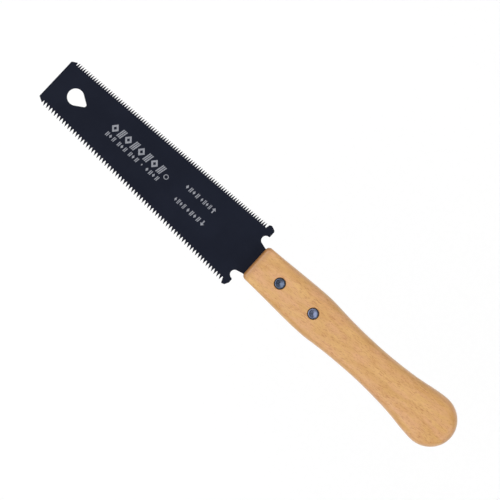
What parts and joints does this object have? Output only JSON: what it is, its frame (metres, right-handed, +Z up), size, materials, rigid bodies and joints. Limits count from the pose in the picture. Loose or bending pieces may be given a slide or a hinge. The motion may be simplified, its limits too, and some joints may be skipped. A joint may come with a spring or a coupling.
{
  "type": "pull saw",
  "caption": "Small double-edged pull saw: tapered black blade, fine teeth on one edge and coarse on the other, teardrop hanging hole, waisted wooden handle held by two rivets.",
  "frame": {"origin": "middle of the saw's overall length and width, on the surface that the handle lies on", "axes": "+X from the handle to the blade's tip, +Y towards the coarse teeth, +Z up, square to the blade"},
  "size_m": [0.3022, 0.0431, 0.018],
  "materials": {
    "blade_coating": "satin blue-black coating",
    "handle_wood": "clear-lacquered beech",
    "rivet_steel": "dark, lightly brushed",
    "blade_print": "matt pale grey print"
  },
  "bodies": {
    "root": {"blade": "blade_coating", "handle": "handle_wood", "front_rivet_post": "rivet_steel", "front_rivet_cap": "rivet_steel", "rear_rivet_post": "rivet_steel", "rear_rivet_cap": "rivet_steel"}
  },
  "joints": []
}
